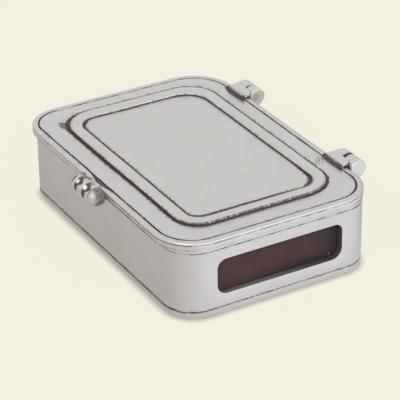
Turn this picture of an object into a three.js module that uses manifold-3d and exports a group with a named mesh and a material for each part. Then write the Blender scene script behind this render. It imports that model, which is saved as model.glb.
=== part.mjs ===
// Pewter match box with a hinged lid and a striking window in one end.
// Millimetres, +Z up. The origin is the centre of the underside. The long axis is X, with the
// window at +X. The lid's thumbpiece is at the front, -Y, and its two hinges at the back, +Y.
// Corner radii are listed back right, back left, front left, front right.

import * as THREE from 'three';
import { mergeVertices } from 'three/addons/utils/BufferGeometryUtils.js';
import Module from 'manifold-3d';

const wasm = await Module();
wasm.setup();

// Body
const bodyLength = 104;
const bodyWidth = 70;
const bodyCorners = [10.3, 10.3, 10.3, 10.3];
const wallThickness = 2.5;
const wallHeight = 20.2;
const baseThickness = 2.7;
const footRound = 1.5;
const mouthBandHeight = 1.3;
const mouthRound = 0.3;
const seamChamfer = 0.2;

// Striking window in the +X end, and the striker behind it
const windowWidth = 44.7;
const windowHeight = 12.1;
const windowSill = 4.2;
const windowShift = 0.45;
const windowCorners = { lowFront: 2.0, lowBack: 3.6, highBack: 2.0, highFront: 3.0 };
const stripThickness = 0.4;
const stripOverlap = 1.2;
const backingThickness = 1.2;
const backingOverlap = 2.5;

// Lid, which overhangs the body all round and sits a little to the front and left of it
const endOverhang = 0.8;
const sideOverhang = 1.6;
const lidShift = { x: -0.1, y: -0.2 };
const lidCorners = [13.6, 15.2, 12.4, 13.7];
const openingGap = 0.25;
const rimHeight = 2.35;
const rimWidth = 2.15;
const rimLedge = 1.5;
const rimRound = 0.55;
const plateThickness = 1.5;
const plateSeam = 0.3;
const plateRound = 0.25;

// Raised frame on the lid plate, set in from the lid's edges
const frameEndMargin = 8.6;
const frameSideMargin = 9.1;
const frameEndBand = 5.6;
const frameSideBand = 4.8;
const frameHeight = 1.0;
const frameCorners = [11.4, 10.7, 11.9, 8.3];
const frameInnerCorners = [6.2, 8.4, 7.1, 4.4];
const frameRound = 0.35;
const frameCrown = 0.15;
const frameCrownRun = 1.6;

// Thumbpiece: a turned finial laid along the front of the rim, its beads filled out up to the rim
const finialBehind = 1.6;
const finialBelowLid = 3.05;
const smallBead = { x: -7.0, radius: 2.1, half: 1.9 };
const largeBead = { x: -3.1, radius: 3.0, half: 2.1 };
const collarBead = { x: 0.6, radius: 2.8, half: 0.9 };
const ballBead = { x: 5.0, radius: 3.2, half: 3.2 };
const smallNeck = 1.1;
const largeNeck = 1.5;
const collarNeck = 2.1;
const ballFlat = 1.3;
const fillReach = 2.0;
const fillDrop = 1.5;
const fillWidth = 0.85;

// Hinges: a strap on the lid and a lug on the back wall, joined by a pin. X runs from far to near.
const strapThickness = 1.6;
const strapBowDepth = 1.0;
const strapEndBevel = 0.35;
const strapSideBevel = 2.1;
const strapSeatLength = 1.6;
const strapArchHeight = 0.4;
const strapFlatLength = 0.6;
const strapCut = { atKnuckle: 1.5, atEdge: 0.5 };
const knuckleTaperLength = 1.0;
const knuckleRadius = 2.9;
const pinRadius = 0.9;
const runningFit = 0.3;
const pinBelowLid = 0.7;
const lugEdge = 0.3;
const lugEndWall = 1.5;
const leafLength = 8.5;
const leafThickness = 1.4;
const leafStraight = 4.2;
const neckAngle = Math.PI / 4;
const knuckleGap = 0.4;
const leftHinge = {
  inset: 18.1,
  reach: 3.1,
  strapWidth: 9.4,
  knuckleStart: 0,
  knuckleWidth: 4.8,
  lugWidth: 4.2,
};
const rightHinge = {
  inset: 28.1,
  reach: 2.4,
  strapWidth: 9.3,
  knuckleStart: 0.8,
  knuckleWidth: 4.5,
  lugWidth: 5.5,
};

// Smoothness of round stretches
const cornerSteps = 14;
const roundSteps = 4;
const beadSteps = 9;
const turnSteps = 40;
const overcut = 1;
const weldDistance = 1e-5;

// Sizes, levels and edges that follow from the sizes above
const lidLength = bodyLength + 2 * endOverhang;
const lidWidth = bodyWidth + 2 * sideOverhang;
const frameLength = lidLength - 2 * frameEndMargin;
const frameWidth = lidWidth - 2 * frameSideMargin;
const wallTop = baseThickness + wallHeight;
const mouth = wallTop + mouthBandHeight;
const lidBottom = mouth + openingGap;
const lidTop = lidBottom + rimHeight;
const plateBottom = lidTop - plateThickness;
const lidLeft = lidShift.x - lidLength / 2;
const lidRight = lidShift.x + lidLength / 2;
const lidBack = lidShift.y + lidWidth / 2;
const lidFront = lidShift.y - lidWidth / 2;
const backWall = bodyWidth / 2;
const innerEnd = bodyLength / 2 - wallThickness;
const pinY = lidBack + runningFit + knuckleRadius;
const pinZ = lidTop - pinBelowLid;
const boreRadius = pinRadius + runningFit;
const hinges = [
  placeHinge('left', lidLeft + leftHinge.inset, leftHinge),
  placeHinge('right', lidRight - rightHinge.inset, rightHinge),
];

// Finishes
const pewter = { color: 0xc9c7c4, roughness: 0.34, metalness: 1 };
const brightPewter = { color: 0xd3d1ce, roughness: 0.24, metalness: 1 };
const steel = { color: 0x8f8d8b, roughness: 0.4, metalness: 1 };
const board = { color: 0x2a2523, roughness: 0.9, metalness: 0 };
const striker = { color: 0x553c3e, roughness: 0.95, metalness: 0 };

// Spans along X of a hinge's strap, knuckle and lug, from where its strap starts
function placeHinge(side, start, { reach, strapWidth, knuckleStart, knuckleWidth, lugWidth }) {
  const knuckle = start + knuckleStart;
  const lug = knuckle + knuckleWidth + knuckleGap;
  return {
    side,
    reach,
    strap: [start, start + strapWidth],
    knuckle: [knuckle, knuckle + knuckleWidth],
    lug: [lug, lug + lugWidth],
  };
}

// Rounded rectangle as one loop of points, counter-clockwise from the back right corner
function roundedRectangle(halfX, halfY, radii) {
  const signs = [[1, 1], [-1, 1], [-1, -1], [1, -1]];
  const points = [];
  signs.forEach(([signX, signY], corner) => {
    const radius = radii[corner];
    const centreX = signX * (halfX - radius);
    const centreY = signY * (halfY - radius);
    for (let step = 0; step <= cornerSteps; step++) {
      const angle = (corner + step / cornerSteps) * Math.PI / 2;
      const x = centreX + radius * Math.cos(angle);
      const y = centreY + radius * Math.sin(angle);
      points.push(new THREE.Vector2(x, y));
    }
  });
  return points;
}

// Quarter round in a profile, from one point of [inset, height] to another
function quarterRound(from, to, startsUpright) {
  const points = [];
  for (let step = 0; step <= roundSteps; step++) {
    const angle = step / roundSteps * Math.PI / 2;
    const early = 1 - Math.cos(angle);
    const late = Math.sin(angle);
    const across = startsUpright ? early : late;
    const along = startsUpright ? late : early;
    points.push([from[0] + (to[0] - from[0]) * across, from[1] + (to[1] - from[1]) * along]);
  }
  return points;
}

// One loop of a plan outline for each point of a profile
function profileLoops(halfX, halfY, radii, profile) {
  return profile.map(([inset, height]) => {
    const inner = radii.map((radius) => radius - inset);
    return { points: roundedRectangle(halfX - inset, halfY - inset, inner), height };
  });
}

function indexedGeometry(positions, indices) {
  const geometry = new THREE.BufferGeometry();
  geometry.setAttribute('position', new THREE.Float32BufferAttribute(positions, 3));
  geometry.setIndex(indices);
  return geometry;
}

// Skin between each loop and the next one
function skin(loops, isClosed) {
  const count = loops[0].points.length;
  const indices = [];
  const lastRow = isClosed ? loops.length : loops.length - 1;
  for (let row = 0; row < lastRow; row++) {
    const above = (row + 1) % loops.length;
    for (let i = 0; i < count; i++) {
      const next = (i + 1) % count;
      const a = row * count + i;
      const b = row * count + next;
      const c = above * count + next;
      const d = above * count + i;
      indices.push(a, b, c, a, c, d);
    }
  }
  return indices;
}

function loopPositions(loops) {
  return loops.flatMap(({ points, height }) => points.flatMap(({ x, y }) => [x, y, height]));
}

// Ring round a rounded rectangle; its profile runs up the outside and down the inside
function ring(halfX, halfY, radii, profile) {
  const loops = profileLoops(halfX, halfY, radii, profile);
  return indexedGeometry(loopPositions(loops), skin(loops, true));
}

// Solid through a stack of loops, closed at the bottom and the top
function loft(loops) {
  const count = loops[0].points.length;
  const topRow = (loops.length - 1) * count;
  const indices = skin(loops, false);
  for (const [a, b, c] of THREE.ShapeUtils.triangulateShape(loops[0].points, [])) {
    indices.push(c, b, a);
  }
  for (const [a, b, c] of THREE.ShapeUtils.triangulateShape(loops[loops.length - 1].points, [])) {
    indices.push(topRow + a, topRow + b, topRow + c);
  }
  return indexedGeometry(loopPositions(loops), indices);
}

// Slab with a rounded rectangle as its plan; its profile runs up the outside
function slab(halfX, halfY, radii, profile) {
  return loft(profileLoops(halfX, halfY, radii, profile));
}

// Closed mesh to boolean solid, and back
function toSolid(geometry) {
  const bare = geometry.clone();
  bare.deleteAttribute('normal');
  bare.deleteAttribute('uv');
  const merged = mergeVertices(bare, weldDistance);
  return new wasm.Manifold(new wasm.Mesh({
    numProp: 3,
    vertProperties: new Float32Array(merged.attributes.position.array),
    triVerts: new Uint32Array(merged.index.array),
  }));
}

function toGeometry(solid) {
  const mesh = solid.getMesh();
  return indexedGeometry(Array.from(mesh.vertProperties), Array.from(mesh.triVerts));
}

function box(minimum, maximum) {
  const size = maximum.map((value, axis) => value - minimum[axis]);
  const centre = maximum.map((value, axis) => (value + minimum[axis]) / 2);
  return new THREE.BoxGeometry(...size).translate(...centre);
}

// Round bar along X, from one end to the other, on the pin's axis
function barAlongX(start, end, radius, y, z) {
  const geometry = new THREE.CylinderGeometry(radius, radius, end - start, turnSteps);
  return geometry.rotateZ(Math.PI / 2).translate((start + end) / 2, y, z);
}

// Outline drawn in Y and Z, extruded along X with softened ends that stay inside the outline
function extrudeAlongX(shape, start, end, edge) {
  const geometry = new THREE.ExtrudeGeometry(shape, {
    depth: end - start - 2 * edge,
    bevelEnabled: edge > 0,
    bevelThickness: edge,
    bevelSize: edge,
    bevelOffset: -edge,
    bevelSegments: 2,
    curveSegments: turnSteps / 2,
  });
  const turn = new THREE.Matrix4().makeBasis(
    new THREE.Vector3(0, 1, 0),
    new THREE.Vector3(0, 0, 1),
    new THREE.Vector3(1, 0, 0),
  );
  return geometry.applyMatrix4(turn).translate(start + edge, 0, 0);
}

function piece(name, geometry, finish) {
  geometry.computeVertexNormals();
  const mesh = new THREE.Mesh(geometry, new THREE.MeshStandardMaterial(finish));
  mesh.name = name;
  return mesh;
}

// Base plate: its edge shows as the foot, rounded under and chamfered at the seam
function basePlate() {
  const profile = [
    ...quarterRound([footRound, 0], [0, footRound], false),
    [0, baseThickness - seamChamfer],
    [seamChamfer, baseThickness],
  ];
  return piece('base_plate', slab(bodyLength / 2, bodyWidth / 2, bodyCorners, profile), pewter);
}

// Window outline in Y and Z
function windowShape() {
  const front = windowShift - windowWidth / 2;
  const back = windowShift + windowWidth / 2;
  const low = baseThickness + windowSill;
  const high = low + windowHeight;
  const { lowFront, lowBack, highBack, highFront } = windowCorners;
  const shape = new THREE.Shape();
  shape.absarc(back - lowBack, low + lowBack, lowBack, -Math.PI / 2, 0);
  shape.absarc(back - highBack, high - highBack, highBack, 0, Math.PI / 2);
  shape.absarc(front + highFront, high - highFront, highFront, Math.PI / 2, Math.PI);
  shape.absarc(front + lowFront, low + lowFront, lowFront, Math.PI, Math.PI * 1.5);
  return shape;
}

// Side wall: one band round the box, cut through at the +X end by the striking window
function bodyWall() {
  const profile = [
    [seamChamfer, baseThickness],
    [0, baseThickness + seamChamfer],
    [0, wallTop - seamChamfer],
    [seamChamfer, wallTop],
    [wallThickness, wallTop],
    [wallThickness, baseThickness],
  ];
  const wall = ring(bodyLength / 2, bodyWidth / 2, bodyCorners, profile);
  const cutter = extrudeAlongX(windowShape(), innerEnd - overcut, bodyLength / 2 + overcut, 0);
  return piece('body_wall', toGeometry(toSolid(wall).subtract(toSolid(cutter))), pewter);
}

// Mouth band: the strip round the mouth that the lid closes on
function mouthBand() {
  const profile = [
    [seamChamfer, wallTop],
    [0, wallTop + seamChamfer],
    ...quarterRound([0, mouth - mouthRound], [mouthRound, mouth], true),
    [wallThickness, mouth],
    [wallThickness, wallTop],
  ];
  return piece('mouth_band', ring(bodyLength / 2, bodyWidth / 2, bodyCorners, profile), pewter);
}

// Striker: an abrasive strip against the inside of the window, and the board that backs it
function strikerPieces() {
  const halfFlat = bodyWidth / 2 - Math.max(...bodyCorners) - runningFit;
  const sill = baseThickness + windowSill;
  const head = sill + windowHeight;
  const stripBack = innerEnd - stripThickness;
  const strip = box([stripBack, -halfFlat, sill - stripOverlap], [innerEnd, halfFlat, head + stripOverlap]);
  const backing = box(
    [stripBack - backingThickness, -halfFlat, baseThickness],
    [stripBack, halfFlat, head + backingOverlap],
  );
  return [piece('striker_strip', strip, striker), piece('striker_backing', backing, board)];
}

// Lid rim: a flat band with a rounded outer edge, and a ledge inside that carries the plate
function lidRim() {
  const profile = [
    [mouthRound, lidBottom],
    [0, lidBottom + mouthRound],
    ...quarterRound([0, lidTop - rimRound], [rimRound, lidTop], true),
    [rimWidth, lidTop],
    [rimWidth, plateBottom],
    [rimWidth + rimLedge, plateBottom],
    [rimWidth + rimLedge, lidBottom],
  ];
  const rim = ring(lidLength / 2, lidWidth / 2, lidCorners, profile);
  return piece('lid_rim', rim.translate(lidShift.x, lidShift.y, 0), pewter);
}

// Lid plate: one flat sheet let into the rim, with a fine seam all round
function lidPlate() {
  const inset = rimWidth + plateSeam;
  const profile = [
    [0, plateBottom],
    ...quarterRound([0, lidTop - plateRound], [plateRound, lidTop], true),
  ];
  const radii = lidCorners.map((radius) => radius - inset);
  const sheet = slab(lidLength / 2 - inset, lidWidth / 2 - inset, radii, profile);
  return piece('lid_plate', sheet.translate(lidShift.x, lidShift.y, 0), pewter);
}

// Raised frame: a flat moulding with a slight crown and soft edges
function lidFrame() {
  const top = lidTop + frameHeight;
  const edge = top - frameCrown;
  const outer = slab(frameLength / 2, frameWidth / 2, frameCorners, [
    [0, lidTop],
    ...quarterRound([0, edge - frameRound], [frameRound, edge], true),
    [frameCrownRun, top],
  ]);
  const innerX = frameLength / 2 - frameEndBand;
  const innerY = frameWidth / 2 - frameSideBand;
  const opening = slab(innerX, innerY, frameInnerCorners, [
    [0, lidTop - overcut],
    [0, edge - frameRound],
    [-frameRound, edge],
    [-frameCrownRun, top],
    [-frameCrownRun, top + overcut],
  ]);
  return piece('lid_frame', toGeometry(toSolid(outer).subtract(toSolid(opening))), pewter);
}

// One bead of the finial: an ellipse in X and radius, cut where it meets the necks
function beadOutline(bead, neckBefore, neckAfter) {
  const first = Math.PI - Math.asin(neckBefore / bead.radius);
  const last = Math.asin(neckAfter / bead.radius);
  const points = [];
  for (let step = 0; step <= beadSteps; step++) {
    const angle = first + (last - first) * step / beadSteps;
    points.push([bead.x + bead.half * Math.cos(angle), bead.radius * Math.sin(angle)]);
  }
  return points;
}

// Smooth lump that fills a bead out to the rim's top edge
function beadFill(bead) {
  const lump = new THREE.SphereGeometry(1, turnSteps, turnSteps / 2);
  lump.scale(bead.half * fillWidth, fillReach, fillDrop);
  return lump.translate(bead.x, lidFront, lidTop - fillDrop);
}

// Thumbpiece: the turned finial and its fills, flat behind against the side of the rim
function thumbpiece() {
  const outline = [
    ...beadOutline(smallBead, smallNeck, smallNeck),
    ...beadOutline(largeBead, smallNeck, largeNeck),
    ...beadOutline(collarBead, largeNeck, collarNeck),
    ...beadOutline(ballBead, collarNeck, ballFlat),
  ];
  const start = [outline[0][0], 0];
  const end = [outline[outline.length - 1][0], 0];
  const profile = [start, ...outline, end].map(([x, radius]) => new THREE.Vector2(radius, x));
  const turned = new THREE.LatheGeometry(profile, turnSteps);
  turned.rotateZ(-Math.PI / 2).translate(0, lidFront - finialBehind, lidTop - finialBelowLid);
  const fills = [smallBead, largeBead, ballBead].map((bead) => toSolid(beadFill(bead)));
  const whole = fills.reduce((sum, lump) => sum.add(lump), toSolid(turned));
  const rimSpace = box([-bodyLength / 2, lidFront, 0], [bodyLength / 2, 0, bodyWidth]);
  return piece('thumbpiece', toGeometry(whole.subtract(toSolid(rimSpace))), brightPewter);
}

// Side view of a hinge strap: it lies on the lid, arches over the rim and wraps round the pin
function strapSection({ reach }) {
  const start = lidBack - reach - 2 * strapBowDepth;
  const seatEnd = lidBack - strapSeatLength;
  const arch = lidTop + strapArchHeight;
  const archAngle = Math.PI - Math.asin((arch - pinZ) / knuckleRadius);
  const shape = new THREE.Shape();
  shape.moveTo(start, lidTop);
  shape.lineTo(seatEnd, lidTop);
  shape.lineTo(seatEnd + strapArchHeight, arch);
  shape.absarc(pinY, pinZ, knuckleRadius, archAngle, Math.PI * 2.5);
  shape.lineTo(lidBack - strapFlatLength, lidTop + strapThickness);
  shape.lineTo(start, lidTop + strapThickness);
  return shape;
}

// Top view of a hinge strap, drawn in from its foot by the bevels
function strapPlan({ reach, strap, knuckle }, sideBevel, endBevel, bulge) {
  const far = strap[0] - strapSideBevel + sideBevel;
  const near = strap[1];
  const end = lidBack - reach + endBevel;
  const rear = pinY + knuckleRadius + overcut;
  const bow = new THREE.QuadraticBezierCurve(
    new THREE.Vector2(far, end),
    new THREE.Vector2((far + near) / 2, end - 2 * bulge),
    new THREE.Vector2(near, end),
  );
  return [
    ...bow.getPoints(cornerSteps),
    new THREE.Vector2(near, lidBack + strapCut.atEdge),
    new THREE.Vector2(knuckle[1], lidBack + strapCut.atKnuckle),
    new THREE.Vector2(knuckle[1], rear),
    new THREE.Vector2(knuckle[0] + knuckleTaperLength, rear),
    new THREE.Vector2(knuckle[0], pinY),
  ];
}

function hingeStrap(hinge) {
  const { strap, knuckle, lug } = hinge;
  const foot = strapPlan(hinge, 0, 0, strapBowDepth);
  const top = strapPlan(hinge, strapSideBevel, strapEndBevel, 0);
  const plan = loft([
    { points: foot, height: pinZ - 2 * knuckleRadius },
    { points: foot, height: lidTop },
    { points: top, height: lidTop + strapThickness },
    { points: top, height: pinZ + 2 * knuckleRadius },
  ]);
  const side = extrudeAlongX(strapSection(hinge), strap[0] - 2 * strapSideBevel, strap[1] + overcut, 0);
  const bore = barAlongX(knuckle[0] - overcut, knuckle[1] + overcut, boreRadius, pinY, pinZ);
  const lugSpace = barAlongX(knuckle[1], lug[1] + overcut, knuckleRadius + runningFit, pinY, pinZ);
  const whole = toSolid(side).intersect(toSolid(plan));
  const strapSolid = whole.subtract(toSolid(bore)).subtract(toSolid(lugSpace));
  return piece(`hinge_strap_${hinge.side}`, toGeometry(strapSolid), brightPewter);
}

// Side view of a hinge lug: a round knuckle carried out from a leaf on the back wall
function lugSection() {
  const top = mouth - mouthRound;
  const topAngle = Math.PI + Math.asin((pinZ - top) / knuckleRadius);
  const low = wallTop - leafLength;
  const shape = new THREE.Shape();
  shape.moveTo(backWall, low);
  shape.lineTo(backWall + leafThickness, low);
  shape.lineTo(backWall + leafThickness, low + leafStraight);
  shape.absarc(pinY, pinZ, knuckleRadius, -neckAngle, topAngle);
  shape.lineTo(backWall, top);
  return shape;
}

function hingeLug({ side, lug }) {
  const solid = extrudeAlongX(lugSection(), lug[0], lug[1], lugEdge);
  const bore = barAlongX(lug[0] - overcut, lug[1] - lugEndWall, boreRadius, pinY, pinZ);
  return piece(`hinge_lug_${side}`, toGeometry(toSolid(solid).subtract(toSolid(bore))), brightPewter);
}

function hingePin({ side, knuckle, lug }) {
  const bar = barAlongX(knuckle[0], lug[1] - lugEndWall - runningFit, pinRadius, pinY, pinZ);
  return piece(`hinge_pin_${side}`, bar, steel);
}

// Body, which stands still
const body = new THREE.Group();
body.add(basePlate(), bodyWall(), mouthBand(), ...strikerPieces());
body.add(...hinges.map(hingeLug), ...hinges.map(hingePin));

// Lid, which turns about the pins
const lid = new THREE.Group();
lid.add(lidPlate(), lidRim(), lidFrame(), thumbpiece(), ...hinges.map(hingeStrap));

const matchBox = new THREE.Group();
matchBox.add(body, lid);

export default matchBox;
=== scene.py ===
import math
import random

import bmesh
import bpy
from mathutils import Matrix, Vector


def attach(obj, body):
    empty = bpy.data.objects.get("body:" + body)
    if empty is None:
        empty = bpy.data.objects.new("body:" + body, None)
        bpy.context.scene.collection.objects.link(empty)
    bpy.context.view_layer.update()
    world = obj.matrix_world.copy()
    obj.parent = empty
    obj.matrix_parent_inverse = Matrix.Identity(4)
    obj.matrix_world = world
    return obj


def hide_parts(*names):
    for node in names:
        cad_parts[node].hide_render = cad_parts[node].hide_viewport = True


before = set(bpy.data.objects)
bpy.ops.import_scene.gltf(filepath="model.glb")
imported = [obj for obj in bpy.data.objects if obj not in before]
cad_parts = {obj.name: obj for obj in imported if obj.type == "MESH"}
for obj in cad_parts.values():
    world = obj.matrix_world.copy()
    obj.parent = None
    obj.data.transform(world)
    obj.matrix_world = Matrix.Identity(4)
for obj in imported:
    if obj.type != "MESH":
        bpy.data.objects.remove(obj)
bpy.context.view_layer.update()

MM = 0.001

# Sizes and levels of the match box in millimetres. Corner radii are listed back right, back
# left, front left, front right, and the rim's and plate's edges are insets from the lid's edge.
BODY_HALF = (52.0, 35.0)
BODY_CORNERS = (10.3, 10.3, 10.3, 10.3)
LID_HALF = (52.8, 36.6)
LID_SHIFT = (-0.1, -0.2)
LID_CORNERS = (13.6, 15.2, 12.4, 13.7)
FRAME_HALF = (43.65, 27.25)
FRAME_SHIFT = (-0.12, 0.0)
FRAME_CORNERS = (11.4, 10.7, 11.9, 8.6)
PANEL_HALF = (39.25, 23.05)
PANEL_CORNERS = (7.0, 8.4, 7.1, 4.6)
FOOT_ROUND = 1.5
FOOT_TOP = 2.7
WALL_TOP = 22.9
WALL_THICKNESS = 2.5
MOUTH = 24.2
RIM_BOTTOM = 24.33
EDGE_LINE = 25.95
EDGE_TOP = 26.79
RIM_INNER = 2.15
PLATE_EDGE = 2.45
PLATE_ROUND = 0.25
SEAT_EDGE = 3.65
PLATE_BOTTOM = 25.3
LID_TOP = 26.8
FRAME_TOP = 27.8
FRAME_ROUND = 0.35
FRAME_CROWN = 0.15
CROWN_RUN = 1.6

# A distance from a dark line that is past the reach of its patina
NO_GROOVE = 9.0

CORNER_STEPS = 18
SIDE_STEPS = 30


def rounded(half, radii, inset=0.0, shift=(0.0, 0.0), side_steps=SIDE_STEPS):
    """Points and outward directions of a rounded rectangle, from its back right corner."""
    rows = []
    ways = ((1, 1), (-1, 1), (-1, -1), (1, -1))
    for corner, (way, radius) in enumerate(zip(ways, radii)):
        reach = max(radius - inset, 0.05)
        centre = Vector((way[0] * (half[0] - inset - reach), way[1] * (half[1] - inset - reach)))
        for step in range(CORNER_STEPS + 1):
            angle = (corner + step / CORNER_STEPS) * math.pi / 2
            out = Vector((math.cos(angle), math.sin(angle)))
            rows.append((centre + out * reach + Vector(shift), out))
    points = []
    count = len(rows)
    for index, (point, out) in enumerate(rows):
        points.append((point, out))
        if index % (CORNER_STEPS + 1) == CORNER_STEPS:
            after = rows[(index + 1) % count][0]
            for step in range(1, side_steps):
                points.append((point.lerp(after, step / side_steps), out))
    return points


def ripple(seed, lowest, highest):
    """A smooth closed wave of one turn, between about -1 and 1."""
    dice = random.Random(seed)
    terms = []
    for turns in range(lowest, highest + 1):
        phase = dice.uniform(0, 2 * math.pi)
        terms.append((turns, phase, dice.uniform(0.3, 1.0) / math.sqrt(turns)))
    total = sum(term[2] for term in terms)

    def wave(share):
        return sum(size * math.sin(2 * math.pi * turns * share + phase)
                   for turns, phase, size in terms) * 1.6 / total
    return wave


def waved(points, wave, height):
    """The points moved in and out by a wave."""
    count = len(points)
    return [(point + out * (wave(index / count) * height), out)
            for index, (point, out) in enumerate(points)]


def quarter(start, end, upright, steps=5):
    """Quarter round between two (inset, height) points, which starts upright or level."""
    made = []
    for step in range(steps + 1):
        angle = step / steps * math.pi / 2
        early = 1 - math.cos(angle)
        late = math.sin(angle)
        across = early if upright else late
        along = late if upright else early
        made.append((start[0] + (end[0] - start[0]) * across,
                     start[1] + (end[1] - start[1]) * along))
    return made


def loft(rows, closed, cap_first=False, cap_last=False):
    """A mesh through rows of points; each row is a list of points in millimetres."""
    made = bmesh.new()
    grid = [[made.verts.new(Vector(point) * MM) for point in row] for row in rows]
    count = len(rows[0])
    last = len(rows) if closed else len(rows) - 1
    for row in range(last):
        here = grid[row]
        above = grid[(row + 1) % len(rows)]
        for index in range(count):
            after = (index + 1) % count
            made.faces.new((here[index], here[after], above[after], above[index]))
    if cap_first:
        made.faces.new(list(reversed(grid[0])))
    if cap_last:
        made.faces.new(grid[-1])
    return made


def to_object(name, made):
    mesh = bpy.data.meshes.new(name)
    made.to_mesh(mesh)
    made.free()
    shown = bpy.data.objects.new(name, mesh)
    bpy.context.scene.collection.objects.link(shown)
    return shown


def smooth(shown, degrees=38):
    shown.data.shade_smooth()
    shown.data.set_sharp_from_angle(angle=math.radians(degrees))


def write_patina_and_shade(shown, grooves, widths, patina_and_shade_values):
    """Each vertex's distance from a dark line, the width of that line, and its own patina and
    painted shade.
    """
    for name, values in (("groove", grooves), ("line_patina_and_shade", widths), ("patina_and_shade", patina_and_shade_values)):
        layer = shown.data.attributes.new(name, "FLOAT", "POINT")
        layer.data.foreach_set("value", values)


def apply_modifiers(shown):
    graph = bpy.context.evaluated_depsgraph_get()
    mesh = bpy.data.meshes.new_from_object(shown.evaluated_get(graph))
    shown.modifiers.clear()
    old = shown.data
    shown.data = mesh
    bpy.data.meshes.remove(old)


def hand_over(shown, node, body, material):
    """Give a piece its material, body and the frame piece that it stands for."""
    shown.data.materials.clear()
    shown.data.materials.append(material)
    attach(shown, body)
    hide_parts(node)


# Materials

class Nodes:
    """Short calls for one material's node tree."""

    def __init__(self, name):
        self.material = bpy.data.materials.new(name)
        self.material.use_nodes = True
        self.tree = self.material.node_tree
        self.tree.nodes.clear()
        place = self.add("ShaderNodeTexCoord")
        scaled = self.add("ShaderNodeVectorMath", operation="SCALE")
        self.tree.links.new(place.outputs["Object"], scaled.inputs[0])
        scaled.inputs["Scale"].default_value = 1 / MM
        self.place = scaled.outputs["Vector"]

    def add(self, kind, **settings):
        made = self.tree.nodes.new(kind)
        for key, value in settings.items():
            setattr(made, key, value)
        return made

    def feed(self, socket, value):
        if isinstance(value, bpy.types.NodeSocket):
            self.tree.links.new(value, socket)
        else:
            socket.default_value = value

    def math(self, operation, first, second=0.0, third=0.0):
        made = self.add("ShaderNodeMath", operation=operation)
        for socket, value in zip(made.inputs, (first, second, third)):
            self.feed(socket, value)
        return made.outputs[0]

    def noise(self, scale, detail=3.0, rough=0.5, place=None, warp=0.0):
        made = self.add("ShaderNodeTexNoise")
        self.feed(made.inputs["Vector"], place or self.place)
        made.inputs["Scale"].default_value = scale
        made.inputs["Detail"].default_value = detail
        made.inputs["Roughness"].default_value = rough
        made.inputs["Distortion"].default_value = warp
        return made.outputs["Fac"]

    def ramp(self, value, low, high, start=0.0, end=1.0, kind="SMOOTHSTEP"):
        made = self.add("ShaderNodeMapRange", interpolation_type=kind)
        self.feed(made.inputs["Value"], value)
        made.inputs["From Min"].default_value = low
        made.inputs["From Max"].default_value = high
        made.inputs["To Min"].default_value = start
        made.inputs["To Max"].default_value = end
        return made.outputs["Result"]

    def value(self, name):
        made = self.add("ShaderNodeAttribute", attribute_name=name)
        return made.outputs["Fac"]

    def stretched(self, size, turn=0.0):
        """The place divided by a size in millimetres, along axes turned about Z."""
        made = self.add("ShaderNodeMapping", vector_type="TEXTURE")
        self.feed(made.inputs["Vector"], self.place)
        made.inputs["Scale"].default_value = size
        made.inputs["Rotation"].default_value = (0.0, 0.0, turn)
        return made.outputs["Vector"]

    def axes(self):
        """The place's X, Y and Z."""
        split = self.add("ShaderNodeSeparateXYZ")
        self.feed(split.inputs[0], self.place)
        return split.outputs["X"], split.outputs["Y"], split.outputs["Z"]

    def beyond(self, start):
        """0 before a place in X and 1 after it."""
        return self.ramp(self.axes()[0], start, start + 0.3)

    def fan(self, centre, start):
        """Scratches that spread from a point, on the part of a piece beyond a start in X."""
        across, rise = self.axes()[1:]
        angle = self.math("ARCTAN2", self.math("SUBTRACT", rise, centre[1]),
                          self.math("SUBTRACT", centre[0], across))
        lines = self.add("ShaderNodeCombineXYZ")
        self.feed(lines.inputs[0], self.math("MULTIPLY", angle, 3.2))
        self.feed(lines.inputs[1], self.math("MULTIPLY", rise, 0.15))
        streak = self.noise(1.6, 3.0, 0.7, place=lines.outputs[0])
        streak = self.ramp(streak, 0.32, 0.52, 0.4, 1.0)
        return self.math("MAXIMUM", streak, self.math("SUBTRACT", 1.0, self.beyond(start)))

    def near(self, centre, reach):
        """1 at a place in millimetres, falling to 0 at a reach along each axis."""
        away = self.add("ShaderNodeVectorMath", operation="SUBTRACT")
        self.feed(away.inputs[0], self.place)
        away.inputs[1].default_value = centre
        share = self.add("ShaderNodeVectorMath", operation="DIVIDE")
        self.feed(share.inputs[0], away.outputs["Vector"])
        share.inputs[1].default_value = reach
        length = self.add("ShaderNodeVectorMath", operation="LENGTH")
        self.feed(length.inputs[0], share.outputs["Vector"])
        return self.ramp(length.outputs["Value"], 0.0, 1.0, 1.0, 0.0)

    def mix(self, factor, first, second):
        made = self.add("ShaderNodeMix", data_type="RGBA")
        self.feed(made.inputs["Factor"], factor)
        self.feed(made.inputs[6], first)
        self.feed(made.inputs[7], second)
        return made.outputs[2]

    def finish(self, colour, rough, metal, height, **fixed):
        shader = self.add("ShaderNodeBsdfPrincipled")
        self.feed(shader.inputs["Base Color"], colour)
        self.feed(shader.inputs["Roughness"], rough)
        self.feed(shader.inputs["Metallic"], metal)
        for key, value in fixed.items():
            shader.inputs[key.replace("_", " ")].default_value = value
        bump = self.add("ShaderNodeBump")
        bump.inputs["Strength"].default_value = 1.0
        bump.inputs["Distance"].default_value = MM
        self.feed(bump.inputs["Height"], height)
        self.tree.links.new(bump.outputs["Normal"], shader.inputs["Normal"])
        output = self.add("ShaderNodeOutputMaterial")
        self.tree.links.new(shader.outputs["BSDF"], output.inputs["Surface"])
        return self.material


PATINA_DEEP = (0.064, 0.045, 0.043, 1.0)
PATINA_THIN = (0.102, 0.078, 0.074, 1.0)
LINE_EDGE = 0.09
HAZE_REACH = 1.2
DENT_HEIGHT = 0.30


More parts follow.
